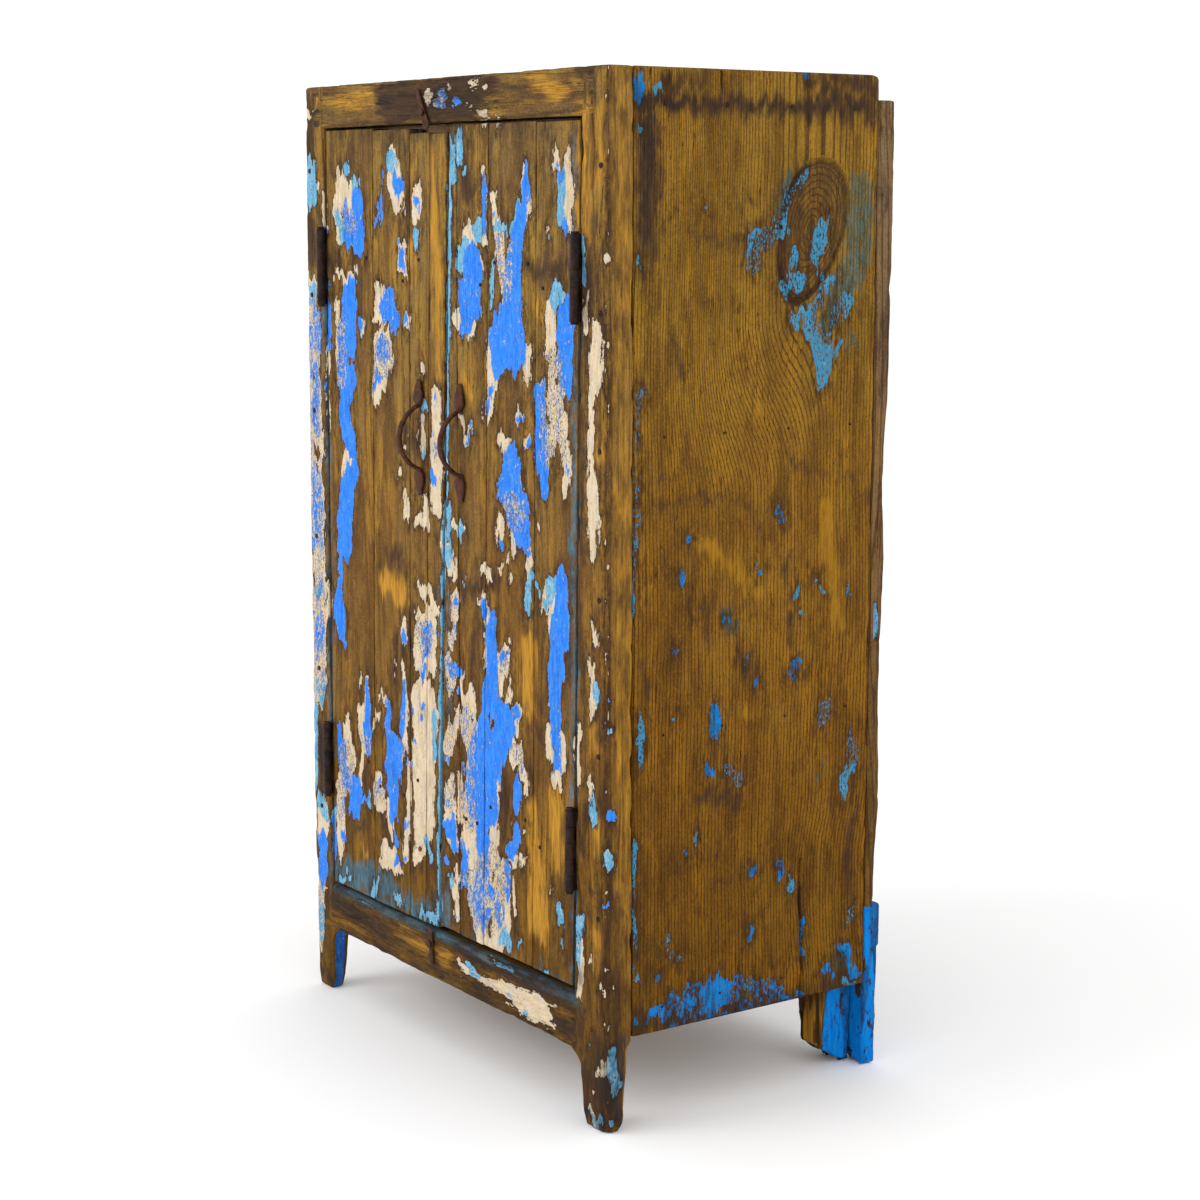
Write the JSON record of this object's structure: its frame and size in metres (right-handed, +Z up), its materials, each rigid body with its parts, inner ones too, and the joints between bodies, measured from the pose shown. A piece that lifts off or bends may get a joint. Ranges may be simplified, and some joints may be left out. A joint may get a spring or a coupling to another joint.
{
  "type": "armoire",
  "caption": "Small two-door plank armoire with a pegged front frame, board sides, inner shelves, bow handles, butt hinges and turn buttons; worn layered paint.",
  "frame": {"origin": "middle of the object's box on the floor", "axes": "+Z up, +Y from the doors to the back, +X to the right seen from the front"},
  "size_m": [0.624, 0.408, 1.1],
  "materials": {
    "door_paint": "plank wood under flaking layers of cornflower blue, turquoise and cream paint",
    "frame_wood": "honey brown waxed wood with dark stains and scraps of old paint",
    "side_wood": "straight-grained olive brown wood round one large knot, with blue paint flecks",
    "back_wood": "rough sawn brown wood",
    "inner_wood": "unfinished dull brown wood",
    "blue_paint": "worn azure blue paint on wood",
    "rusty_iron": "dark red-brown rusted forged iron",
    "black_iron": "near black oiled iron"
  },
  "bodies": {
    "case": {"left_post": "frame_wood", "right_post": "frame_wood", "top_rail": "frame_wood", "bottom_rail": "frame_wood", "top_stop": "inner_wood", "bottom_stop": "inner_wood", "left_side_board": "side_wood", "right_side_board": "side_wood", "top_board": "inner_wood", "bottom_board": "inner_wood", "lower_shelf": "inner_wood", "upper_shelf": "inner_wood", "lower_shelf_battens": "inner_wood", "upper_shelf_battens": "inner_wood", "left_rear_post": "back_wood", "right_rear_post": "back_wood", "left_rear_foot": "blue_paint", "right_rear_foot": "blue_paint", "back_board_1": "back_wood", "back_board_2": "back_wood", "back_board_3": "back_wood", "back_board_4": "back_wood", "frame_pegs": "frame_wood", "case_nails": "rusty_iron", "left_upper_post_leaf": "black_iron", "left_lower_post_leaf": "black_iron", "right_upper_post_leaf": "black_iron", "right_lower_post_leaf": "black_iron", "left_upper_hinge_pin": "black_iron", "left_lower_hinge_pin": "black_iron", "right_upper_hinge_pin": "black_iron", "right_lower_hinge_pin": "black_iron", "post_hinge_screws": "black_iron", "top_button_nail": "rusty_iron", "bottom_button_nail": "rusty_iron"},
    "left_door": {"left_door_plank_1": "door_paint", "left_door_plank_2": "door_paint", "left_door_plank_3": "door_paint", "left_door_plank_4": "door_paint", "left_door_upper_ledge": "inner_wood", "left_door_lower_ledge": "inner_wood", "left_upper_door_leaf": "black_iron", "left_lower_door_leaf": "black_iron", "left_handle": "rusty_iron", "left_door_nails": "rusty_iron", "left_door_hinge_screws": "black_iron"},
    "right_door": {"right_door_plank_1": "door_paint", "right_door_plank_2": "door_paint", "right_door_plank_3": "door_paint", "right_door_plank_4": "door_paint", "right_door_upper_ledge": "inner_wood", "right_door_lower_ledge": "inner_wood", "right_upper_door_leaf": "black_iron", "right_lower_door_leaf": "black_iron", "right_handle": "rusty_iron", "right_door_nails": "rusty_iron", "right_door_hinge_screws": "black_iron"},
    "top_button": {"top_turn_button": "rusty_iron"},
    "bottom_button": {"bottom_turn_button": "rusty_iron"}
  },
  "joints": [
    {"name": "left_door_swing", "type": "hinge", "parent": "case", "child": "left_door", "pos_m": [-0.26467, -0.1793, 0.297], "axis": [-0.0115, 0, -0.9999], "range_deg": [0, 170]},
    {"name": "right_door_swing", "type": "hinge", "parent": "case", "child": "right_door", "pos_m": [0.25168, -0.1793, 0.297], "axis": [0.0175, 0, 0.9998], "range_deg": [0, 170]},
    {"name": "top_button_turn", "type": "hinge", "parent": "case", "child": "top_button", "pos_m": [-0.03, -0.1765, 1.064], "axis": [0, -1, 0], "continuous": true},
    {"name": "bottom_button_turn", "type": "hinge", "parent": "case", "child": "bottom_button", "pos_m": [-0.034, -0.1765, 0.122], "axis": [0, -1, 0], "continuous": true}
  ]
}
